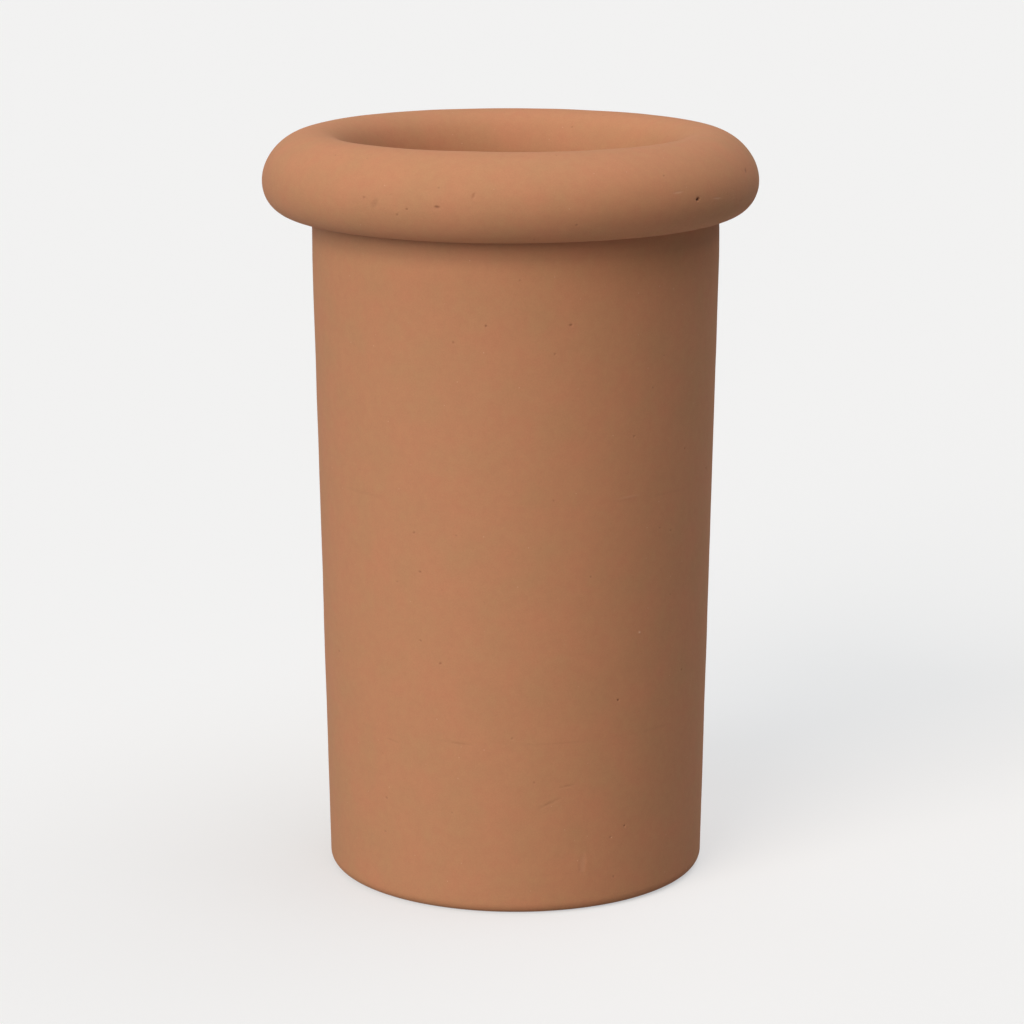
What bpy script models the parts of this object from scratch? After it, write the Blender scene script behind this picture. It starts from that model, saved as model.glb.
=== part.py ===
"""Terracotta pot with a fat rolled rim, built from the clay members that a potter joins.

A foot ring and a base slab carry three thrown wall sections, and a hollow roll closes over the top
of the wall. A coil is worked into each inside corner. Every member is a turned ring round the Z axis,
standing on the plane z = 0, and each joint is a tongue in a groove with a thin film of slip between.
Metres, +Z up.
"""

import math

import bmesh
import bpy
from mathutils import Vector

# Overall sizes
OVERALL_HEIGHT = 0.460
NECK_DIAMETER = 0.248      # over the wall, just under the roll
FOOT_NARROWING = 0.015     # the wall is this much narrower at the ground

# Clay thicknesses
WALL_THICKNESS = 0.013
BASE_THICKNESS = 0.016

# Foot and drain
FOOT_HEIGHT = 0.008        # the foot ring lifts the slab this far
FOOT_WIDTH = 0.018
FOOT_ROUNDING = 0.0065     # radius of the outer bottom edge
DRAIN_DIAMETER = 0.026

# Height of the two joins between the thrown wall sections
LOWER_JOIN = 0.107
UPPER_JOIN = 0.252

# Rolled rim: a hollow roll, centred over the wall's outer face, whose oval section leans down and out
ROLL_LONG = 0.057
ROLL_SHORT = 0.047
ROLL_LEAN = math.radians(-36.5)
ROLL_THICKNESS = 0.010
NECK_STRAIGHT = 0.026      # the wall stops flaring this far under the roll
NECK_TUCK = 0.020          # the wall's top stands this far inside the roll

# Coils worked into the inside corners
BASE_COIL = 0.012
NECK_COIL_DROP = 0.046
NECK_COIL_WIDTH = 0.0122

# Tongues and grooves between members
TONGUE_HEIGHT = 0.005
TONGUE_ROOT = 0.006
TONGUE_TIP = 0.003
SLIP_GAP = 0.0003          # film of slip left between two members

# Smoothness
SEGMENTS = 48              # facets round every ring, alike so that neighbours nest
ROLL_STEPS = 21            # facets round the roll's outer skin
HOLLOW_STEPS = 14          # and round its hollow
COIL_STEPS = 6
ROUNDING_STEPS = 4
SHARP_ANGLE = math.radians(35)
HALVINGS = 50              # enough to place a point far finer than the clay

# Fired clay: linear colours, paler where the kiln's flame reached
RIM_CLAY = (0.58, 0.29, 0.16)
WALL_CLAY = (0.46, 0.21, 0.11)
BASE_CLAY = (0.42, 0.19, 0.10)
HIDDEN_CLAY = (0.38, 0.16, 0.08)
CLAY_ROUGHNESS = 0.92

SLAB_TOP = FOOT_HEIGHT + SLIP_GAP + BASE_THICKNESS


def roll_point(turn, offset=0.0):
    """Radius and height of the roll's section where its outward normal points at angle turn.

    The oval is written by how far its tangent lies from its centre, so pushing that distance
    out by offset gives a section parallel to it.
    """
    half_long = ROLL_LONG / 2
    half_short = ROLL_SHORT / 2
    reach_up = tangent_distance(math.pi / 2)
    centre_radius = NECK_DIAMETER / 2
    centre_height = OVERALL_HEIGHT - reach_up
    along = math.cos(turn - ROLL_LEAN)
    across = math.sin(turn - ROLL_LEAN)
    distance = tangent_distance(turn)
    slide = (half_short ** 2 - half_long ** 2) * along * across / distance
    push = distance + offset
    radius = centre_radius + push * math.cos(turn) - slide * math.sin(turn)
    height = centre_height + push * math.sin(turn) + slide * math.cos(turn)
    return radius, height


def tangent_distance(turn):
    """Distance from the oval's centre to its tangent with the normal at angle turn."""
    return math.hypot(ROLL_LONG / 2 * math.cos(turn - ROLL_LEAN),
                      ROLL_SHORT / 2 * math.sin(turn - ROLL_LEAN))


def under_turn(radius, offset=0.0):
    """Normal angle at which the roll's underside reaches a radius, found by halving."""
    low, high = -math.pi, 0.0
    for _ in range(HALVINGS):
        middle = (low + high) / 2
        if roll_point(middle, offset)[0] < radius:
            low = middle
        else:
            high = middle
    return (low + high) / 2


def arc(function, start, end, steps):
    """Points of a function of one angle from start to end, both ends included."""
    return [function(start + (end - start) * i / steps) for i in range(steps + 1)]


def bend(start, corner, end, steps):
    """A curve from start to end that bends towards a corner between them."""
    points = []
    for i in range(steps + 1):
        t = i / steps
        weights = ((1 - t) ** 2, 2 * t * (1 - t), t ** 2)
        points.append(tuple(sum(w * p[axis] for w, p in zip(weights, (start, corner, end)))
                            for axis in (0, 1)))
    return points


NECK_HEIGHT = roll_point(under_turn(NECK_DIAMETER / 2))[1] - NECK_STRAIGHT


def outer_radius(height):
    """The wall flares in a straight line from the ground to the neck, and then runs upright."""
    share = min(height / NECK_HEIGHT, 1.0)
    return (NECK_DIAMETER - FOOT_NARROWING * (1 - share)) / 2


def inner_radius(height):
    return outer_radius(height) - WALL_THICKNESS


def tongue(height):
    """Ridge on the top of a member, from its outer to its inner shoulder."""
    middle = outer_radius(height) - WALL_THICKNESS / 2
    top = height + TONGUE_HEIGHT
    return [(middle + TONGUE_ROOT / 2, height), (middle + TONGUE_TIP / 2, top),
            (middle - TONGUE_TIP / 2, top), (middle - TONGUE_ROOT / 2, height)]


def groove(height):
    """The matching groove in the underside of the member above, from inner to outer shoulder."""
    points = []
    middle = outer_radius(height) - WALL_THICKNESS / 2
    for radius, level in reversed(tongue(height)):
        side = math.copysign(SLIP_GAP, radius - middle)
        points.append((radius + side, level + SLIP_GAP))
    return points


def foot_ring_profile():
    outer = outer_radius(0.0)
    centre = outer - FOOT_ROUNDING

    def edge(angle):
        return (centre + FOOT_ROUNDING * math.cos(angle),
                FOOT_ROUNDING * (1 + math.sin(angle)))

    inner = outer - FOOT_WIDTH
    rounding = arc(edge, -math.pi / 2, 0.0, ROUNDING_STEPS)
    return rounding + [(outer_radius(FOOT_HEIGHT), FOOT_HEIGHT)] + tongue(FOOT_HEIGHT) + [
        (inner, FOOT_HEIGHT), (inner, 0.0)]


def base_slab_profile():
    bottom = FOOT_HEIGHT + SLIP_GAP
    drain = DRAIN_DIAMETER / 2
    return [(drain, bottom)] + groove(FOOT_HEIGHT) + [
        (outer_radius(bottom), bottom), (outer_radius(SLAB_TOP), SLAB_TOP)] + tongue(SLAB_TOP) + [
        (drain, SLAB_TOP)]


def wall_profile(join_below, join_above):
    """A wall section between two joins, with a groove below and a tongue above."""
    bottom = join_below + SLIP_GAP
    return [(inner_radius(bottom), bottom)] + groove(join_below) + [
        (outer_radius(bottom), bottom), (outer_radius(join_above), join_above)] + tongue(join_above) + [
        (inner_radius(join_above), join_above)]


def upper_wall_profile():
    """The top section, whose plain upper edge stands inside the roll."""
    bottom = UPPER_JOIN + SLIP_GAP
    top = NECK_HEIGHT + NECK_STRAIGHT + NECK_TUCK
    return [(inner_radius(bottom), bottom)] + groove(UPPER_JOIN) + [
        (outer_radius(bottom), bottom), (outer_radius(NECK_HEIGHT), NECK_HEIGHT),
        (outer_radius(top), top), (inner_radius(top), top), (inner_radius(NECK_HEIGHT), NECK_HEIGHT)]


def rim_roll_profile():
    """The clay of the rim, rolled out, over and down until its edge lies against the wall's inside."""
    outside = NECK_DIAMETER / 2 + SLIP_GAP
    inside = NECK_DIAMETER / 2 - WALL_THICKNESS - SLIP_GAP

    def skin(turn):
        return roll_point(turn)

    def hollow(turn):
        return roll_point(turn, -ROLL_THICKNESS)

    full_turn = 2 * math.pi
    outward = arc(skin, under_turn(outside), under_turn(inside) + full_turn, ROLL_STEPS)
    back = arc(hollow, under_turn(inside, -ROLL_THICKNESS) + full_turn,
               under_turn(outside, -ROLL_THICKNESS), HOLLOW_STEPS)
    return outward + back


def base_coil_profile():
    """A coil smeared into the corner between the slab and the wall."""
    floor = SLAB_TOP + SLIP_GAP
    top = floor + BASE_COIL
    corner = (inner_radius(floor) - SLIP_GAP, floor)
    on_floor = (corner[0] - BASE_COIL, floor)
    on_wall = (inner_radius(top) - SLIP_GAP, top)
    return [corner] + bend(on_wall, corner, on_floor, COIL_STEPS)


def neck_coil_profile():
    """A fat coil under the roll, smeared down to the wall so that the mouth runs into it smoothly."""
    wall = NECK_DIAMETER / 2 - WALL_THICKNESS - SLIP_GAP

    def ceiling(turn):
        return roll_point(turn, SLIP_GAP)

    roof = arc(ceiling, under_turn(wall, SLIP_GAP), under_turn(wall - NECK_COIL_WIDTH, SLIP_GAP), COIL_STEPS)
    on_wall = (wall, roof[0][1] - NECK_COIL_DROP)
    below_roof = (roof[-1][0], on_wall[1] + NECK_COIL_DROP / 3)
    return roof + bend(roof[-1], below_roof, on_wall, COIL_STEPS)[1:]


def clay_material(name, colour):
    material = bpy.data.materials.new(name)
    material.use_nodes = True
    shader = material.node_tree.nodes["Principled BSDF"]
    shader.inputs["Base Color"].default_value = (*colour, 1.0)
    shader.inputs["Roughness"].default_value = CLAY_ROUGHNESS
    shader.inputs["Metallic"].default_value = 0.0
    return material


def turned_ring(name, profile, colour):
    """Spins a closed profile of (radius, height) points once round the Z axis."""
    shape = bmesh.new()
    corners = [shape.verts.new((radius, 0.0, height)) for radius, height in profile]
    edges = [shape.edges.new((corners[i - 1], corners[i])) for i in range(len(corners))]
    bmesh.ops.spin(shape, geom=corners + edges, cent=Vector(), axis=Vector((0, 0, 1)),
                   angle=2 * math.pi, steps=SEGMENTS, use_merge=True)
    bmesh.ops.recalc_face_normals(shape, faces=shape.faces[:])
    mesh = bpy.data.meshes.new(name)
    shape.to_mesh(mesh)
    shape.free()
    mesh.shade_smooth()
    mesh.set_sharp_from_angle(angle=SHARP_ANGLE)
    mesh.materials.append(clay_material(name + "_clay", colour))
    ring = bpy.data.objects.new(name, mesh)
    bpy.context.scene.collection.objects.link(ring)
    return ring


def clear_scene():
    for thing in list(bpy.data.objects):
        bpy.data.objects.remove(thing, do_unlink=True)


def build_pot():
    turned_ring("foot_ring", foot_ring_profile(), BASE_CLAY)
    turned_ring("base_slab", base_slab_profile(), BASE_CLAY)
    turned_ring("base_coil", base_coil_profile(), HIDDEN_CLAY)
    turned_ring("wall_lower", wall_profile(SLAB_TOP, LOWER_JOIN), WALL_CLAY)
    turned_ring("wall_middle", wall_profile(LOWER_JOIN, UPPER_JOIN), WALL_CLAY)
    turned_ring("wall_upper", upper_wall_profile(), WALL_CLAY)
    turned_ring("neck_coil", neck_coil_profile(), HIDDEN_CLAY)
    turned_ring("rim_roll", rim_roll_profile(), RIM_CLAY)


clear_scene()
build_pot()
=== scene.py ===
import math
import random

import bmesh
import bpy
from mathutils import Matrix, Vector, kdtree


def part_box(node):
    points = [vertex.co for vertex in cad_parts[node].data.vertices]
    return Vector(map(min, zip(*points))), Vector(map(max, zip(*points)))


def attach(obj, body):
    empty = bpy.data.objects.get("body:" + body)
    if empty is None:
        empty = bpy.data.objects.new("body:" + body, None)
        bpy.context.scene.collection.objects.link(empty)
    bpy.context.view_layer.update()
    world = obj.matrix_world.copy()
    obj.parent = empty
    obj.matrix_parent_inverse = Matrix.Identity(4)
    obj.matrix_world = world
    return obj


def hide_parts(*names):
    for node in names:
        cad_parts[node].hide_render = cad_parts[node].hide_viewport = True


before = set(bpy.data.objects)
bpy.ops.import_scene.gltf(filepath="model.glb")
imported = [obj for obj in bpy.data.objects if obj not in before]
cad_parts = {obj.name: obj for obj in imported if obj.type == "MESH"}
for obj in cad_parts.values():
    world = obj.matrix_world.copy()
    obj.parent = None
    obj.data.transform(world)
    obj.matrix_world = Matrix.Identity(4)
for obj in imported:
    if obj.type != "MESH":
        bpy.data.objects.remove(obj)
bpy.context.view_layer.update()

body = "root"
segments = 512             # columns round every turned piece, alike so that neighbours meet point to point
hairline = 0.00002         # what is left open where two clay members were smeared together
tiny = 0.00001             # two points nearer than this are one place
loopSlack = 0.0015         # how far hand-made lumps may carry a ring from its drawn radius
ringSlack = 0.0008         # the same where two rings stand close together


def linearColour(hexColour):
    channels = [int(hexColour[i:i + 2], 16) / 255 for i in (1, 3, 5)]
    return [c / 12.92 if c <= 0.04045 else ((c + 0.055) / 1.055) ** 2.4 for c in channels] + [1.0]


def perMetre(millimetres):
    # a pattern's scale on Object coordinates, from the size of its cells
    return 1000 / millimetres


def smoothStep(value, low, high):
    share = min(max((value - low) / (high - low), 0.0), 1.0)
    return share * share * (3 - 2 * share)


def ringRadius(co):
    return math.hypot(co.x, co.y)


def pick(piece, mode, test):
    # selects the points, edges or faces whose corners all pass the test
    bpy.ops.mesh.select_mode(type=mode)
    bpy.ops.mesh.select_all(action="DESELECT")
    mesh = bmesh.from_edit_mesh(piece.data)
    parts = {"VERT": mesh.verts, "EDGE": mesh.edges, "FACE": mesh.faces}[mode]
    for part in parts:
        corners = [part] if mode == "VERT" else part.verts
        if all(test(corner.co) for corner in corners):
            part.select_set(True)
    mesh.select_flush_mode()
    bmesh.update_edit_mesh(piece.data)


def pickLoop(piece, radius, height):
    # the level ring of edges nearest to a radius and a height
    pick(piece, "EDGE", lambda co: abs(co.z - height) < tiny and abs(ringRadius(co) - radius) < loopSlack)


def widenRing(factor):
    bpy.ops.transform.resize(value=(factor, factor, 1), center_override=(0, 0, 0))


def stretchRing(factor, rise=0.0):
    # extrudes the selected ring of edges, lifts it and scales it about the pot's axis
    bpy.ops.mesh.extrude_region_move(TRANSFORM_OT_translate={"value": (0, 0, rise)})
    widenRing(factor)


def applyModifiers(piece):
    bpy.context.view_layer.objects.active = piece
    for modifier in list(piece.modifiers):
        bpy.ops.object.modifier_apply(modifier=modifier.name)


def only(piece):
    bpy.ops.object.select_all(action="DESELECT")
    piece.select_set(True)
    bpy.context.view_layer.objects.active = piece


def copyOf(piece, name):
    only(piece)
    bpy.ops.object.duplicate()
    copy = bpy.context.object
    copy.name = copy.data.name = name
    return copy


def throwAway(piece):
    bpy.data.objects.remove(piece, do_unlink=True)


camera = {"place": (-0.00227, -2.0852, 0.6925), "downwards": 12.707, "lens": 121.03, "sensor": 36}

# where each soft lamp stands, in degrees round from the camera's side and degrees up, how wide it is
# in degrees, and how strong it is in red, green and blue
lamps = {
    "windowKey": {"round": -34, "up": 29, "width": 40, "strength": (0.63, 0.56, 0.49)},
    "skySide": {"round": -60, "up": 16, "width": 40, "strength": (0.10, 0.16, 0.20)},
    "overhead": {"round": 20, "up": 70, "width": 40, "strength": (0.17, 0.195, 0.215)},
    "backFill": {"round": 120, "up": 62, "width": 60, "strength": (0.34, 0.325, 0.315)},
    "farSide": {"round": -130, "up": 40, "width": 60, "strength": (0.09, 0.09, 0.09)},
}

studio = {
    "floorRadius": 30, "floorPaper": "#FCFCFC", "floorBounce": 0.39, "floorGloss": 0.5, "floorGlow": 0.55,
    "backdrop": "#F4F4F4", "roomLight": 0.04, "roomGloss": 0.3,
}


def placeCamera(settings):
    bpy.ops.object.camera_add(location=settings["place"],
                              rotation=(math.radians(90 - settings["downwards"]), 0, 0))
    viewer = bpy.context.object
    viewer.name = "potCamera"
    viewer.data.sensor_width = settings["sensor"]
    viewer.data.lens = settings["lens"]
    viewer.data.clip_end = 200
    bpy.context.scene.camera = viewer


def hangLamps():
    for name, lamp in lamps.items():
        around, up = math.radians(lamp["round"]), math.radians(lamp["up"])
        towards = Vector((math.cos(up) * math.sin(around), -math.cos(up) * math.cos(around), math.sin(up)))
        bpy.ops.object.light_add(type="SUN", location=towards * 3,
                                 rotation=towards.to_track_quat("Z", "Y").to_euler())
        sun = bpy.context.object
        sun.name = name
        sun.data.angle = math.radians(lamp["width"])
        brightest = max(lamp["strength"])
        sun.data.energy = brightest * math.pi
        sun.data.color = [part / brightest for part in lamp["strength"]]


def addNode(tree, kind, links, **settings):
    # one node with its settings, and its sockets either filled or linked
    node = tree.nodes.new("ShaderNode" + kind)
    for key, value in settings.items():
        setattr(node, key, value)
    for socket, value in links.items():
        if isinstance(value, bpy.types.NodeSocket):
            tree.links.new(value, node.inputs[socket])
        else:
            node.inputs[socket].default_value = value
    return node


def threeWays(tree, scatteredLight, reflected, seen):
    # one look for scattered light, one for reflections and one for the eye
    path = addNode(tree, "LightPath", {})
    unseen = addNode(tree, "MixShader", {0: path.outputs["Is Glossy Ray"], 1: scatteredLight, 2: reflected})
    looks = addNode(tree, "MixShader", {0: path.outputs["Is Camera Ray"], 1: unseen.outputs[0], 2: seen})
    return looks.outputs[0]


def grey(level):
    return (level, level, level, 1)


def layFloor(settings):
    # white paper to the eye, glowing so that its shadows stay faint, and dimmer in what it throws back
    bpy.ops.mesh.primitive_circle_add(vertices=96, radius=settings["floorRadius"], fill_type="NGON")
    floor = bpy.context.object
    floor.name = "studioFloor"
    paper = bpy.data.materials.new("studioPaper")
    paper.use_nodes = True
    tree = paper.node_tree
    tree.nodes.clear()
    bounce = addNode(tree, "BsdfDiffuse", {"Color": grey(settings["floorBounce"])}).outputs[0]
    gloss = addNode(tree, "BsdfDiffuse", {"Color": grey(settings["floorGloss"])}).outputs[0]
    paperSeen = addNode(tree, "BsdfDiffuse", {"Color": linearColour(settings["floorPaper"])}).outputs[0]
    glow = addNode(tree, "Emission", {"Color": linearColour(settings["backdrop"])}).outputs[0]
    seen = addNode(tree, "MixShader", {0: settings["floorGlow"], 1: paperSeen, 2: glow}).outputs[0]
    looks = threeWays(tree, bounce, gloss, seen)
    addNode(tree, "OutputMaterial", {"Surface": looks})
    floor.data.materials.append(paper)


def paintRoom(settings):
    room = bpy.data.worlds.new("studioRoom")
    room.use_nodes = True
    tree = room.node_tree
    tree.nodes.clear()
    light = addNode(tree, "Background", {"Color": grey(settings["roomLight"])}).outputs[0]
    gloss = addNode(tree, "Background", {"Color": grey(settings["roomGloss"])}).outputs[0]
    backdrop = addNode(tree, "Background", {"Color": linearColour(settings["backdrop"])}).outputs[0]
    looks = threeWays(tree, light, gloss, backdrop)
    addNode(tree, "OutputWorld", {"Surface": looks})
    bpy.context.scene.world = room
    bpy.context.scene.view_settings.view_transform = "Standard"


bpy.ops.object.select_all(action="DESELECT")
placeCamera(camera)
hangLamps()
layFloor(studio)
paintRoom(studio)
print("camera, lamps and floor are up")


# Low-fired red earthenware, thrown and sponged smooth: matt and a little dusty, so it is nearly as bright
# at its edges as in the middle. Iron in the clay gives clouds of pinker and browner orange, the sponge
# leaves a fine grain, and grog leaves pale specks. Pattern sizes are in millimetres, and heights in metres.
spongedFinish = {
    "pink": "#C88661", "tan": "#C18961", "pale": "#DDB092", "dark": "#6E4230",
    "cloud": 24, "blotch": 5, "blotchDepth": 0.07, "grain": 0.9, "grainDepth": 0.03,
    "speckCell": 7, "speck": 0.45, "speckShare": 0.35, "speckPaleness": 0.6,
    "stroke": 1.1, "strokeDepth": 0.02, "strokeShade": 0.02, "strokesBelow": -1.0, "strokesFade": 0.008,
    "joins": (), "joinPatch": 35, "joinShade": 0.04,
    # the next three set a painted shade on the wall under the roll
    "paintedShadeLow": 0.390, "paintedShadeTop": 0.3985, "paintedShade": 0.0,
    "roughness": 0.8, "ior": 1.5, "sheen": 0.08, "sheenRoughness": 0.4,
}


def mapped(tree, value, fromLow, fromHigh, toLow, toHigh):
    return addNode(tree, "MapRange", {0: value, 1: fromLow, 2: fromHigh, 3: toLow, 4: toHigh}).outputs[0]


def combined(tree, first, second, operation="ADD"):
    return addNode(tree, "Math", {0: first, 1: second}, operation=operation).outputs[0]


def blended(tree, share, first, second):
    return addNode(tree, "Mix", {0: share, 6: first, 7: second}, data_type="RGBA").outputs[2]


def noise(tree, place, size, detail=2.0):
    return addNode(tree, "TexNoise", {"Vector": place, "Scale": perMetre(size), "Detail": detail}).outputs[0]


def scattered(tree, place, cell, size, share):
    # round dots of a size, scattered in cells, in only a share of them
    cells = addNode(tree, "TexVoronoi", {"Vector": place, "Scale": perMetre(cell)})
    dot = mapped(tree, cells.outputs["Distance"], size / cell * 0.5, size / cell, 1, 0)
    parts = addNode(tree, "SeparateColor", {0: cells.outputs["Color"]})
    chosen = combined(tree, parts.outputs[0], share, "LESS_THAN")
    return combined(tree, dot, chosen, "MULTIPLY")


def fingerStrokes(tree, place, settings):
    # long thin strokes round the pot: the pattern is squeezed along the way that the wheel turned
    flat = addNode(tree, "VectorMath", {0: place, 1: (1, 1, 0)}, operation="MULTIPLY").outputs[0]
    way = addNode(tree, "VectorMath", {0: flat}, operation="NORMALIZE").outputs[0]
    slow = addNode(tree, "VectorMath", {0: way, "Scale": 0.012}, operation="SCALE").outputs[0]
    upright = addNode(tree, "VectorMath", {0: place, 1: (0, 0, 1)}, operation="MULTIPLY").outputs[0]
    squeezed = addNode(tree, "VectorMath", {0: slow, 1: upright}, operation="ADD").outputs[0]
    outward = addNode(tree, "VectorMath", {0: flat}, operation="LENGTH").outputs["Value"]
    reach = combined(tree, outward, perMetre(settings["stroke"]), "MULTIPLY")
    strokes = addNode(tree, "TexNoise", {"Vector": squeezed, "W": reach, "Detail": 2.0,
                                         "Scale": perMetre(settings["stroke"])}, noise_dimensions="4D")
    return mapped(tree, strokes.outputs[0], 0.3, 0.7, -1, 1)


def smearedJoin(tree, place, join, patch):
    # a join wiped shut by hand, so its line shows only here and there
    height = addNode(tree, "SeparateXYZ", {0: place}).outputs["Z"]
    away = combined(tree, height, join, "SUBTRACT")
    away = addNode(tree, "Math", {0: away}, operation="ABSOLUTE").outputs[0]
    line = mapped(tree, away, 0.0003, 0.0011, 1, 0)
    here = mapped(tree, noise(tree, place, patch, 1.0), 0.55, 0.66, 0, 1)
    return combined(tree, line, here, "MULTIPLY")


def fireClay(name, changes):
    settings = dict(spongedFinish, **changes)
    clay = bpy.data.materials.new(name)
    clay.use_nodes = True
    tree = clay.node_tree
    shader = tree.nodes["Principled BSDF"]
    place = addNode(tree, "TexCoord", {}).outputs["Object"]
    cloud = noise(tree, place, settings["cloud"], 3.0)
    blotch = noise(tree, place, settings["blotch"])
    grain = noise(tree, place, settings["grain"])
    strokes = fingerStrokes(tree, place, settings)
    height = addNode(tree, "SeparateXYZ", {0: place}).outputs["Z"]
    strokesBelow, fade = settings["strokesBelow"], settings["strokesFade"]
    stroked = mapped(tree, height, strokesBelow - fade, strokesBelow + fade, 1, 0)
    strokes = combined(tree, strokes, stroked, "MULTIPLY")

    hue = addNode(tree, "Math", {0: blotch, 1: 0.5, 2: cloud}, operation="MULTIPLY_ADD").outputs[0]
    hue = mapped(tree, hue, 0.5, 1.0, 0, 1)
    colour = blended(tree, hue, linearColour(settings["pink"]), linearColour(settings["tan"]))
    blotchShade = mapped(tree, blotch, 0.3, 0.7, 0.975, 1.025)
    grainShade = mapped(tree, grain, 0.3, 0.7, -0.03, 0.03)
    shade = combined(tree, blotchShade, grainShade)
    strokeShade = {0: strokes, 1: settings["strokeShade"], 2: shade}
    shade = addNode(tree, "Math", strokeShade, operation="MULTIPLY_ADD").outputs[0]
    colour = addNode(tree, "VectorMath", {0: colour, 1: shade}, operation="MULTIPLY").outputs[0]
    pale, dark = linearColour(settings["pale"]), linearColour(settings["dark"])
    specks = scattered(tree, place, settings["speckCell"], settings["speck"], settings["speckShare"])
    colour = blended(tree, combined(tree, specks, settings["speckPaleness"], "MULTIPLY"), colour, pale)
    for join in settings["joins"]:
        line = smearedJoin(tree, place, join, settings["joinPatch"])
        colour = blended(tree, combined(tree, line, settings["joinShade"], "MULTIPLY"), colour, dark)
    # painted shade: the clay darkens upwards to the roll's underside, standing in for the shadow cast by the
    # roll's overhang
    paintedShade = mapped(tree, height, settings["paintedShadeLow"], settings["paintedShadeTop"], 0, 1)
    paintedShade = combined(tree, combined(tree, paintedShade, 2.0, "POWER"), settings["paintedShade"], "MULTIPLY")
    colour = blended(tree, paintedShade, colour, dark)
    # painted shade darkens the dents, nicks and holes where the mark's tone is above zero, and below zero
    # the tone makes the scuffs paler
    dentShadeAndWear = addNode(tree, "Attribute", {}, attribute_name="dentShadeAndWear").outputs["Fac"]
    colour = blended(tree, mapped(tree, dentShadeAndWear, 0, 1, 0, 1), colour, dark)
    colour = blended(tree, mapped(tree, dentShadeAndWear, 0, -1, 0, 1), colour, pale)
    tree.links.new(colour, shader.inputs["Base Color"])

    rise = combined(tree, grain, settings["grainDepth"], "MULTIPLY")
    rise = addNode(tree, "Math", {0: blotch, 1: settings["blotchDepth"], 2: rise}, operation="MULTIPLY_ADD")
    rise = rise.outputs[0]
    rise = addNode(tree, "Math", {0: strokes, 1: settings["strokeDepth"], 2: rise}, operation="MULTIPLY_ADD")
    bump = addNode(tree, "Bump", {"Height": rise.outputs[0], "Distance": 0.001, "Strength": 1.0})
    tree.links.new(bump.outputs[0], shader.inputs["Normal"])

    shader.inputs["Roughness"].default_value = settings["roughness"]
    shader.inputs["IOR"].default_value = settings["ior"]
    shader.inputs["Sheen Weight"].default_value = settings["sheen"]
    shader.inputs["Sheen Roughness"].default_value = settings["sheenRoughness"]
    shader.inputs["Sheen Tint"].default_value = pale
    return clay


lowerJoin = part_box("wall_middle")[0].z
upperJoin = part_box("wall_upper")[0].z
# the sponged clay carries the painted shade under the roll
spongedClay = fireClay("spongedTerracotta", {"joins": (lowerJoin, upperJoin), "paintedShade": 0.15})
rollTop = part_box("rim_roll")[1].z
rimStrokes = {"strokesBelow": rollTop - 0.022, "stroke": 1.6, "strokeShade": 0.05}
rimClay = fireClay("rolledRimTerracotta", rimStrokes)
print("terracotta is mixed")


# The wall is thrown as one blank and then cut at its joins, so neighbours meet without a step.
wall = {
    "thickness": 0.013, "footRounding": 0.0065, "footFlat": 0.006, "upright": 0.026, "tuck": 0.020,
    "rowsTwice": 13, "innerRows": 60, "lumpSize": 0.045, "lumpHeight": 0.0005,
}

joint = {"height": 0.005, "root": 0.006, "tip": 0.003, "slack": 0.0003}

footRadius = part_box("foot_ring")[1].x
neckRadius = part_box("wall_upper")[1].x
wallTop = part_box("wall_upper")[1].z
neckHeight = wallTop - wall["tuck"] - wall["upright"]
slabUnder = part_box("base_slab")[0].z
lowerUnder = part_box("wall_lower")[0].z


def outerRadius(height):
    return neckRadius - (neckRadius - footRadius) * (1 - min(height / neckHeight, 1.0))


def innerRadius(height):
    return outerRadius(height) - wall["thickness"]


roll = {
    "long": 0.057, "short": 0.047, "lean": math.radians(36.5), "clay": 0.010, "points": 112,
    "lipGap": 0.0003, "leftwards": 0.0031, "lumpSize": 0.06, "lumpHeight": 0.0006,
    "slumpLow": 0.400, "slumpHigh": 0.430, "slumpOut": 0.012,
    "coilWidth": 0.013, "coilKnee": 0.016, "slantTop": 0.4517, "slantFoot": 0.372, "slantRise": 0.048,
    "slantFill": 0.0033, "slantInner": 0.100, "slantOuter": 0.1085,
}

rollCentreHeight = rollTop - math.hypot(roll["long"] / 2 * math.sin(roll["lean"]),
                                        roll["short"] / 2 * math.cos(roll["lean"]))


def leaning(co):
    # how far the roll's leftward slump carries a point: nothing at the neck, all of it out on the roll
    raised = smoothStep(co.z, roll["slumpLow"], roll["slumpHigh"])
    outward = 0.0
    if co.z > roll["slumpLow"]:
        outward = smoothStep(ringRadius(co), neckRadius, neckRadius + roll["slumpOut"])
    return 1 - (1 - raised) * (1 - outward)


def slumpLeft(piece):
    weigh(piece, "slump", leaning)
    push = piece.modifiers.new("slump", "DISPLACE")
    push.direction = "X"
    push.mid_level = 0.0
    push.strength = -roll["leftwards"]
    push.vertex_group = "slump"
    applyModifiers(piece)


def turnedTube(name, lowRadius, highRadius, low, high):
    # an open tube round the pot's axis, flared from its foot to its top
    bpy.ops.object.select_all(action="DESELECT")
    bpy.ops.mesh.primitive_cylinder_add(vertices=segments, radius=lowRadius, depth=high - low,
                                        end_fill_type="NOTHING", location=(0, 0, (low + high) / 2))
    tube = bpy.context.object
    tube.name = tube.data.name = name
    bpy.ops.object.transform_apply(location=True, rotation=True, scale=True)
    bpy.ops.object.mode_set(mode="EDIT")
    pick(tube, "VERT", lambda co: abs(co.z - high) < tiny)
    widenRing(highRadius / lowRadius)
    return tube


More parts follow.
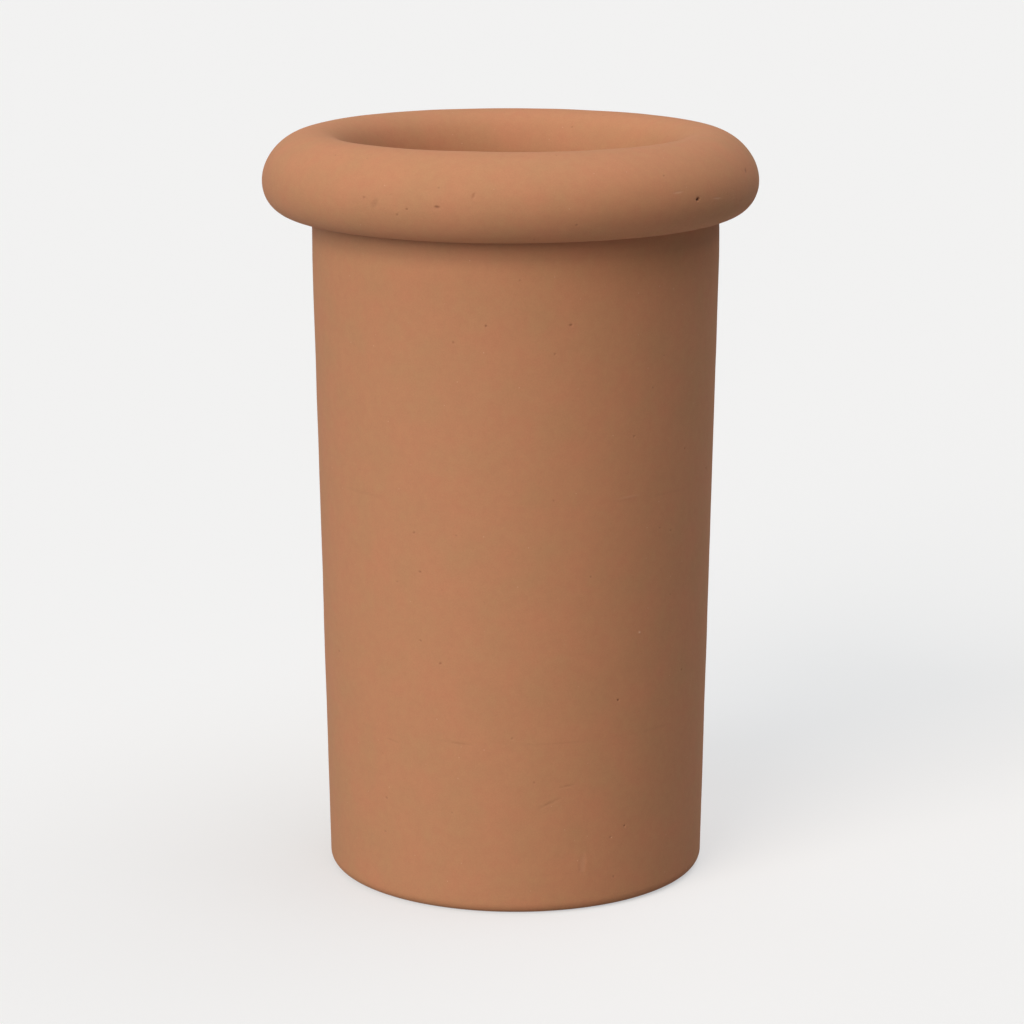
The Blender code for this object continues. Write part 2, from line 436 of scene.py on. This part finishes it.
def pickUprights(piece, low, high):
    # the long edges that run from one ring up to the next
    pick(piece, "EDGE", lambda co: low - tiny < co.z < high + tiny)
    mesh = bmesh.from_edit_mesh(piece.data)
    for edge in mesh.edges:
        first, second = edge.verts
        if abs(first.co.z - second.co.z) < tiny:
            edge.select_set(False)
    mesh.select_flush_mode()
    bmesh.update_edit_mesh(piece.data)


def weigh(piece, name, share):
    # a vertex group whose weight follows a point's place
    group = piece.vertex_groups.new(name=name)
    for vertex in piece.data.vertices:
        group.add([vertex.index], share(vertex.co), "REPLACE")


def swell(piece, name, size, height, share):
    # the slow unevenness that a hand leaves
    weigh(piece, name, share)
    lumps = bpy.data.textures.new(name, type="CLOUDS")
    lumps.noise_scale = size
    lumps.noise_depth = 2
    push = piece.modifiers.new(name, "DISPLACE")
    push.texture = lumps
    push.texture_coords = "GLOBAL"
    push.direction = "NORMAL"
    push.strength = height
    push.mid_level = 0.5
    push.vertex_group = name


def throwOuterBlank():
    blank = turnedTube("outerBlank", outerRadius(0), neckRadius, 0.0, neckHeight)
    # turn the foot's edge under and round it
    pick(blank, "EDGE", lambda co: abs(co.z) < tiny)
    stretchRing(1 - (wall["footRounding"] + wall["footFlat"]) / outerRadius(0))
    pickLoop(blank, outerRadius(0), 0.0)
    bpy.ops.mesh.bevel(offset=wall["footRounding"], offset_type="OFFSET", segments=8, affect="EDGES")
    pickUprights(blank, wall["footRounding"], neckHeight)
    bpy.ops.mesh.subdivide(number_cuts=wall["rowsTwice"])
    pickUprights(blank, wall["footRounding"], neckHeight)
    bpy.ops.mesh.subdivide(number_cuts=wall["rowsTwice"])
    # the neck stands upright, and runs on up into the rolled rim
    pick(blank, "EDGE", lambda co: abs(co.z - neckHeight) < tiny)
    stretchRing(1.0, wallTop - neckHeight)
    pickUprights(blank, neckHeight, wallTop)
    bpy.ops.mesh.subdivide(number_cuts=22)
    bpy.ops.object.mode_set(mode="OBJECT")
    swell(blank, "throwingLumps", wall["lumpSize"], wall["lumpHeight"],
          lambda co: smoothStep(co.z, wall["footRounding"], 0.02))
    applyModifiers(blank)
    return blank


def throwInnerBlank():
    blank = turnedTube("innerBlank", innerRadius(0), innerRadius(neckHeight), 0.0, neckHeight)
    pickUprights(blank, 0.0, neckHeight)
    bpy.ops.mesh.subdivide(number_cuts=wall["innerRows"])
    pick(blank, "EDGE", lambda co: abs(co.z - neckHeight) < tiny)
    stretchRing(1.0, wallTop - neckHeight)
    pickUprights(blank, neckHeight, wallTop)
    bpy.ops.mesh.subdivide(number_cuts=9)
    bpy.ops.object.mode_set(mode="OBJECT")
    swell(blank, "fingerLumps", wall["lumpSize"], wall["lumpHeight"],
          lambda co: smoothStep(co.z, 0.0, 0.02))
    applyModifiers(blank)
    return blank


def cutBand(blank, name, low, high):
    # a copy of the blank between two heights
    band = copyOf(blank, name)
    bpy.ops.object.mode_set(mode="EDIT")
    for height, up in ((low, -1), (high, 1)):
        if height is not None:
            bpy.ops.mesh.select_all(action="SELECT")
            bpy.ops.mesh.bisect(plane_co=(0, 0, height), plane_no=(0, 0, up),
                                clear_outer=True, threshold=tiny)
    bpy.ops.object.mode_set(mode="OBJECT")
    return band


def joinBands(first, second):
    bpy.ops.object.select_all(action="DESELECT")
    second.select_set(True)
    first.select_set(True)
    bpy.context.view_layer.objects.active = first
    bpy.ops.object.join()
    bpy.ops.object.mode_set(mode="EDIT")


def column(co):
    # which of the pot's columns a point stands in
    return round(math.atan2(co.y, co.x) / (2 * math.pi) * segments) % segments


def tongueAndGroove(piece, height, grow):
    # from the outer shoulder's ring: in to the ridge, up and over it, and back down
    middle = outerRadius(height) - wall["thickness"] / 2
    root = joint["root"] / 2 + grow
    tip = joint["tip"] / 2 + grow
    pickLoop(piece, outerRadius(height), height)
    radius = outerRadius(height)
    for nextRadius, rise in ((middle + root, 0.0), (middle + tip, joint["height"] + grow),
                             (middle - tip, 0.0), (middle - root, -joint["height"] - grow)):
        stretchRing(nextRadius / radius, rise)
        radius = nextRadius
    return radius


def closeTo(piece, radius, otherRadius, height):
    # joins the ring at one radius to the ring at another, column by column
    mesh = bmesh.from_edit_mesh(piece.data)
    level = [vertex for vertex in mesh.verts if abs(vertex.co.z - height) < tiny]
    rings = []
    for reach in (radius, otherRadius):
        ring = [vertex for vertex in level if abs(ringRadius(vertex.co) - reach) < ringSlack]
        ring.sort(key=lambda vertex: column(vertex.co))
        rings.append(ring)
    first, second = rings
    for i in range(segments):
        mesh.faces.new((first[i - 1], first[i], second[i], second[i - 1]))
    bmesh.update_edit_mesh(piece.data)


def finishPiece(piece, node, clay):
    bpy.ops.object.mode_set(mode="EDIT")
    bpy.ops.mesh.select_all(action="SELECT")
    bpy.ops.mesh.remove_doubles(threshold=0.000001)
    bpy.ops.mesh.normals_make_consistent(inside=False)
    bpy.ops.object.mode_set(mode="OBJECT")
    only(piece)
    bpy.ops.object.shade_smooth_by_angle(angle=math.radians(35))
    piece.data.materials.clear()
    piece.data.materials.append(clay)
    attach(piece, body)
    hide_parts(node)
    print("%s: %d faces" % (piece.name, len(piece.data.polygons)))


def makeWallSection(name, node, low, high):
    # high is the underside of the member above, or None where the wall ends inside the roll
    top = wallTop if high is None else high - hairline
    cutAt = None if high is None else top
    section = cutBand(outerBlank, name, low, cutAt)
    joinBands(section, cutBand(innerBlank, "inside", low, cutAt))
    ended = tongueAndGroove(section, low, joint["slack"])
    closeTo(section, ended, innerRadius(low), low)
    if high is None:
        closeTo(section, neckRadius, innerRadius(neckHeight), wallTop)
        bpy.ops.object.mode_set(mode="OBJECT")
        slumpLeft(section)
    else:
        ended = tongueAndGroove(section, top, 0.0)
        closeTo(section, ended, innerRadius(top), top)
    finishPiece(section, node, spongedClay)
    return section


outerBlank = throwOuterBlank()
innerBlank = throwInnerBlank()
lowerWall = makeWallSection("lowerWall", "wall_lower", lowerUnder, lowerJoin)
middleWall = makeWallSection("middleWall", "wall_middle", lowerJoin, upperJoin)
upperWall = makeWallSection("upperWall", "wall_upper", upperJoin, None)


base = {"footWidth": 0.018, "drain": 0.013, "drainSlack": 0.001, "drainRounding": 0.002, "coil": 0.012}


def makeFootRing():
    top = slabUnder - hairline
    ring = cutBand(outerBlank, "footRing", None, top)
    bpy.ops.object.mode_set(mode="EDIT")
    ended = tongueAndGroove(ring, top, 0.0)
    inside = outerRadius(0) - base["footWidth"]
    stretchRing(inside / ended)
    stretchRing(1.0, -top)
    closeTo(ring, inside, outerRadius(0) - wall["footRounding"] - wall["footFlat"], 0.0)
    finishPiece(ring, "foot_ring", spongedClay)
    return ring


def makeBaseSlab():
    top = lowerUnder - hairline
    slab = cutBand(outerBlank, "baseSlab", slabUnder, top)
    bpy.ops.object.mode_set(mode="EDIT")
    for height, grow in ((slabUnder, joint["slack"]), (top, 0.0)):
        ended = tongueAndGroove(slab, height, grow)
        stretchRing(base["drain"] / ended)
    pick(slab, "EDGE", lambda co: abs(ringRadius(co) - base["drain"]) < base["drainSlack"])
    bpy.ops.mesh.bridge_edge_loops()
    # the drain hole's two edges are wiped round with a wet finger
    for height in (slabUnder, top):
        pick(slab, "EDGE", lambda co: abs(co.z - height) < tiny and
             abs(ringRadius(co) - base["drain"]) < base["drainSlack"])
        bpy.ops.mesh.bevel(offset=base["drainRounding"], offset_type="OFFSET", segments=4, affect="EDGES")
    finishPiece(slab, "base_slab", spongedClay)
    return slab


footRing = makeFootRing()
baseSlab = makeBaseSlab()


def ovalRing(name, halfLong, halfShort):
    # the roll's oval section, standing in the XZ plane and leaning down and out
    bpy.ops.object.select_all(action="DESELECT")
    bpy.ops.mesh.primitive_circle_add(vertices=roll["points"], radius=1, fill_type="NOTHING",
                                      location=(neckRadius, 0, rollCentreHeight),
                                      rotation=(math.pi / 2, roll["lean"], 0))
    ring = bpy.context.object
    ring.name = ring.data.name = name
    ring.scale = (halfLong, halfShort, 1)
    bpy.ops.object.transform_apply(location=True, rotation=True, scale=True)
    return ring


def spinSection(piece):
    # leaves only the section's outline, and turns it once round the pot's axis
    bpy.ops.mesh.select_mode(type="FACE")
    bpy.ops.mesh.select_all(action="SELECT")
    bpy.ops.mesh.dissolve_faces()
    bpy.ops.mesh.select_all(action="SELECT")
    bpy.ops.mesh.delete(type="ONLY_FACE")
    bpy.ops.mesh.select_mode(type="EDGE")
    bpy.ops.mesh.select_all(action="SELECT")
    bpy.ops.mesh.spin(steps=segments, angle=math.tau, center=(0, 0, 0), axis=(0, 0, 1), use_auto_merge=True)


def fillMouth(piece):
    # the mouth's inside face runs down in one slant, a little further in than the roll's oval
    for vertex in piece.data.vertices:
        radius, height = ringRadius(vertex.co), vertex.co.z
        slant = min(max((roll["slantTop"] - height) / (roll["slantTop"] - rollCentreHeight), 0), 1) ** 2
        share = slant * smoothStep(height, roll["slantFoot"], roll["slantFoot"] + roll["slantRise"])
        share *= 1 - smoothStep(radius, roll["slantInner"], roll["slantOuter"])
        narrowed = 1 - roll["slantFill"] * share / max(radius, tiny)
        vertex.co.x *= narrowed
        vertex.co.y *= narrowed


def makeRolledRim():
    rim = ovalRing("rolledRim", roll["long"] / 2, roll["short"] / 2)
    hollow = ovalRing("hollow", roll["long"] / 2 - roll["clay"], roll["short"] / 2 - roll["clay"])
    joinBands(rim, hollow)
    bpy.ops.mesh.select_all(action="SELECT")
    bpy.ops.mesh.bridge_edge_loops()
    # open the underside where the wall comes up into the roll
    outside = neckRadius + roll["lipGap"]
    inside = neckRadius - wall["thickness"] - roll["lipGap"]
    for radius in (outside, inside):
        pick(rim, "FACE", lambda co: co.z < rollCentreHeight)
        bpy.ops.mesh.bisect(plane_co=(radius, 0, 0), plane_no=(1, 0, 0), threshold=tiny)
    pick(rim, "FACE", lambda co: co.z < rollCentreHeight and inside - tiny < co.x < outside + tiny)
    bpy.ops.mesh.delete(type="FACE")
    spinSection(rim)
    bpy.ops.object.mode_set(mode="OBJECT")
    swell(rim, "rollLumps", roll["lumpSize"], roll["lumpHeight"],
          lambda co: max(smoothStep(ringRadius(co), neckRadius + 0.004, neckRadius + 0.012),
                         smoothStep(co.z, rollCentreHeight, rollCentreHeight + 0.008)))
    applyModifiers(rim)
    fillMouth(rim)
    slumpLeft(rim)
    finishPiece(rim, "rim_roll", rimClay)
    return rim


rolledRim = makeRolledRim()


def drawnSquare(name, low, high):
    # a flat square standing in the XZ plane, between two corners given as radius and height
    bpy.ops.object.select_all(action="DESELECT")
    bpy.ops.mesh.primitive_plane_add(size=1, rotation=(math.pi / 2, 0, 0),
                                     location=((low[0] + high[0]) / 2, 0, (low[1] + high[1]) / 2))
    square = bpy.context.object
    square.name = square.data.name = name
    square.scale = (high[0] - low[0], high[1] - low[1], 1)
    bpy.ops.object.transform_apply(location=True, rotation=True, scale=True)
    bpy.ops.object.mode_set(mode="EDIT")
    return square


def makeBaseCoil():
    # smeared into the corner between slab and wall, so its free face is hollow
    floor = lowerUnder
    size = base["coil"]
    reach = innerRadius(floor) - joint["slack"]
    coil = drawnSquare("baseCoil", (reach - size, floor), (reach, floor + size))
    pick(coil, "VERT", lambda co: co.x < reach - tiny and co.z > floor + tiny)
    bpy.ops.mesh.bevel(offset=size * 0.97, offset_type="OFFSET", segments=10, profile=0.12,
                       affect="VERTICES")
    spinSection(coil)
    finishPiece(coil, "base_coil", spongedClay)
    return coil


def makeNeckCoil():
    # worked up against the roll's underside, and smeared down to the wall so that the mouth runs in smoothly
    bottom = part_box("neck_coil")[0].z
    reach = neckRadius - wall["thickness"] - joint["slack"]
    inner = reach - roll["coilWidth"]
    knee = bottom + roll["coilKnee"]
    coil = ovalRing("neckCoil", roll["long"] / 2 + hairline, roll["short"] / 2 + hairline)
    bpy.ops.object.mode_set(mode="EDIT")
    pick(coil, "VERT", lambda co: co.z > rollCentreHeight or not inner < co.x < reach)
    bpy.ops.mesh.delete(type="VERT")
    roof = sorted((vertex.co.x, vertex.co.z) for vertex in bmesh.from_edit_mesh(coil.data).verts)
    for (endX, endZ), newX, newZ in ((roof[0], roof[0][0], knee), (roof[-1], roof[-1][0], bottom)):
        pick(coil, "VERT", lambda co: abs(co.x - endX) < tiny and abs(co.z - endZ) < tiny)
        bpy.ops.mesh.extrude_region_move(TRANSFORM_OT_translate={"value": (newX - endX, 0, newZ - endZ)})
    bpy.ops.mesh.select_all(action="SELECT")
    bpy.ops.mesh.edge_face_add()
    pick(coil, "VERT", lambda co: abs(co.z - knee) < tiny)
    bpy.ops.mesh.bevel(offset=roll["coilKnee"], offset_type="OFFSET", segments=16, affect="VERTICES")
    pick(coil, "EDGE", lambda co: co.x < inner + 0.003 and co.z > knee)
    bpy.ops.mesh.subdivide(number_cuts=6)
    spinSection(coil)
    bpy.ops.object.mode_set(mode="OBJECT")
    fillMouth(coil)
    slumpLeft(coil)
    finishPiece(coil, "neck_coil", spongedClay)
    return coil


baseCoil = makeBaseCoil()
neckCoil = makeNeckCoil()
throwAway(outerBlank)
throwAway(innerBlank)
print("rolled rim and coils are done")

# Dents, nicks and scuffs. Each lies so many degrees round from the front, and so many metres high on the
# wall or so many degrees of turn up the roll. It is long, wide and deep in millimetres and turned by tilt,
# and tone above zero darkens it with painted shade, or makes it pale where tone is below zero.
wallMarks = [
    {"round": -8, "high": 0.36, "long": 0.9, "wide": 0.8, "depth": 0.45, "tone": 0.5},
    {"round": 15, "high": 0.36, "long": 1.4, "wide": 0.8, "depth": 0.45, "tone": 0.5},
    {"round": -28, "high": 0.21, "long": 1.3, "wide": 0.9, "depth": 0.35, "tone": 0.35},
    {"round": -22, "high": 0.155, "long": 1.3, "wide": 0.7, "tilt": 35, "depth": 0.4, "tone": 0.4},
    {"round": 31, "high": 0.13, "long": 1.0, "wide": 1.0, "depth": 0.5, "tone": 0.6},
    {"round": 34, "high": 0.05, "long": 1.0, "wide": 1.0, "depth": 0.4, "tone": 0.5},
    {"round": 38, "high": 0.17, "long": 1.2, "wide": 0.9, "depth": -0.2, "tone": -0.9},
    {"round": 10, "high": 0.07, "long": 11.0, "wide": 1.3, "tilt": 24, "depth": 0.12, "tone": 0.10},
    {"round": 15, "high": 0.08, "long": 7.0, "wide": 1.2, "tilt": 8, "depth": 0.12, "tone": 0.12},
    {"round": 20, "high": 0.03, "long": 10.0, "wide": 3.0, "tilt": 84, "depth": 0.15, "tone": -0.10},
    {"round": -16, "high": lowerJoin - 0.001, "long": 9.0, "wide": 1.0, "tilt": -2, "depth": 0.10,
     "tone": 0.10},
    {"round": -39, "high": lowerJoin - 0.005, "long": 7.0, "wide": 0.9, "tilt": -7, "depth": 0.08,
     "tone": 0.10},
    {"round": 33, "high": upperJoin + 0.002, "long": 12.0, "wide": 1.0, "tilt": 3, "depth": -0.06,
     "tone": -0.12},
]

rimMarks = [
    {"round": -16, "turn": 5, "long": 2.2, "wide": 1.0, "tilt": -6, "depth": 0.6, "tone": 0.5},
    {"round": -23, "turn": 0, "long": 0.9, "wide": 0.8, "depth": 0.4, "tone": 0.4},
    {"round": -8, "turn": 20, "long": 2.6, "wide": 1.4, "tilt": 70, "depth": 0.4, "tone": 0.15},
    {"round": -31, "turn": 5, "long": 4.5, "wide": 2.6, "tilt": 60, "depth": 0.15, "tone": 0.15},
    {"round": 40, "turn": 15, "long": 5.5, "wide": 0.8, "tilt": 3, "depth": 0.1, "tone": -0.35},
    {"round": 53, "turn": 0, "long": 6.0, "wide": 0.8, "tilt": -4, "depth": 0.1, "tone": -0.35},
    {"round": 70, "turn": 25, "long": 3.2, "wide": 1.6, "tilt": 30, "depth": 0.3, "tone": 0.4},
]

# a chip in the roll, knocked out in three short nicks across each other
chip = {"round": 46, "turn": 3, "long": 2.6, "wide": 0.9, "depth": 0.55, "tone": 0.45}
rimMarks += [dict(chip, tilt=tilt) for tilt in (-50, 5, 40)]

# air holes and nicks all over, where no one mark stands out, each darkened with painted shade
chance = {
    "seed": 11, "wallHoles": 90, "rimHoles": 60, "smallest": 0.45, "largest": 0.95,
    "depth": 0.35, "tone": 0.32,
}


def rollPoint(turn):
    # radius, height and outward normal of the roll's skin where its normal points up from level by turn
    lean = -roll["lean"]
    halfLong, halfShort = roll["long"] / 2, roll["short"] / 2
    along, across = math.cos(turn - lean), math.sin(turn - lean)
    distance = math.hypot(halfLong * along, halfShort * across)
    slide = (halfShort ** 2 - halfLong ** 2) * along * across / distance
    radius = neckRadius + distance * math.cos(turn) - slide * math.sin(turn)
    height = rollCentreHeight + distance * math.sin(turn) + slide * math.cos(turn)
    return radius, height


def markPlace(mark):
    # where a mark's middle is, which way is out of the clay there, and which way is round the pot
    around = math.radians(mark["round"])
    out = Vector((math.sin(around), -math.cos(around), 0))
    level = Vector((math.cos(around), math.sin(around), 0))
    if "turn" in mark:
        turn = math.radians(mark["turn"])
        radius, height = rollPoint(turn)
        middle = out * radius + Vector((0, 0, height))
        middle.x -= roll["leftwards"] * leaning(middle)
        return middle, out * math.cos(turn) + Vector((0, 0, math.sin(turn))), level
    return out * outerRadius(mark["high"]) + Vector((0, 0, mark["high"])), out, level


def markClay(piece, marks):
    low, high = piece.bound_box[0], piece.bound_box[6]
    marks = [dict(mark, place=markPlace(mark)) for mark in marks]
    marks = [mark for mark in marks if low[2] < mark["place"][0].z < high[2]]
    only(piece)
    bpy.ops.object.mode_set(mode="EDIT")
    bpy.ops.mesh.select_mode(type="FACE")
    bpy.ops.mesh.select_all(action="DESELECT")
    mesh = bmesh.from_edit_mesh(piece.data)
    mesh.faces.ensure_lookup_table()
    middles = kdtree.KDTree(len(mesh.faces))
    for face in mesh.faces:
        middles.insert(face.calc_center_median(), face.index)
    middles.balance()
    for mark in marks:
        for _, index, _ in middles.find_range(mark["place"][0], 0.001 * mark["long"] + 0.0012):
            mesh.faces[index].select_set(True)
    bmesh.update_edit_mesh(piece.data)
    bpy.ops.mesh.subdivide(number_cuts=3)
    bpy.ops.object.mode_set(mode="OBJECT")
    dentShadeAndWear = piece.data.attributes.new("dentShadeAndWear", "FLOAT", "POINT")
    points = kdtree.KDTree(len(piece.data.vertices))
    for vertex in piece.data.vertices:
        points.insert(vertex.co, vertex.index)
    points.balance()
    for mark in marks:
        middle, out, level = mark["place"]
        tilt = math.radians(mark.get("tilt", 0))
        up = out.cross(level)
        if up.z < 0:
            up = -up
        lengthwise = level * math.cos(tilt) + up * math.sin(tilt)
        crosswise = up * math.cos(tilt) - level * math.sin(tilt)
        for co, index, _ in points.find_range(middle, 0.001 * mark["long"] + 0.001):
            away = co - middle
            along = away.dot(lengthwise) / mark["long"]
            across = away.dot(crosswise) / mark["wide"]
            share = 1 - smoothStep(math.hypot(along, across) * 1000, 0.25, 1.0)
            piece.data.vertices[index].co -= out * mark["depth"] * 0.001 * share
            # tone above zero is painted shade in the dent, below zero a paler scuff
            dentShadeAndWear.data[index].value += mark["tone"] * share
    print("%s: %d marks" % (piece.name, len(marks)))


def chanceMarks():
    dice = random.Random(chance["seed"])
    walls, rim = [], []
    for marks, count in ((walls, chance["wallHoles"]), (rim, chance["rimHoles"])):
        for _ in range(count):
            size = dice.uniform(chance["smallest"], chance["largest"])
            share = size / chance["largest"]
            marks.append({"round": dice.uniform(-180, 180), "long": size * dice.uniform(1, 1.5),
                          "wide": size, "tilt": dice.uniform(-40, 40),
                          "depth": chance["depth"] * share, "tone": chance["tone"] * share})
            marks[-1].update({"high": dice.uniform(0.012, neckHeight + 0.015)} if marks is walls
                             else {"turn": dice.uniform(-60, 150)})
    return walls, rim


wallHoles, rimHoles = chanceMarks()
for piece in (footRing, baseSlab, lowerWall, middleWall, upperWall):
    markClay(piece, wallMarks + wallHoles)
markClay(rolledRim, rimMarks + rimHoles)
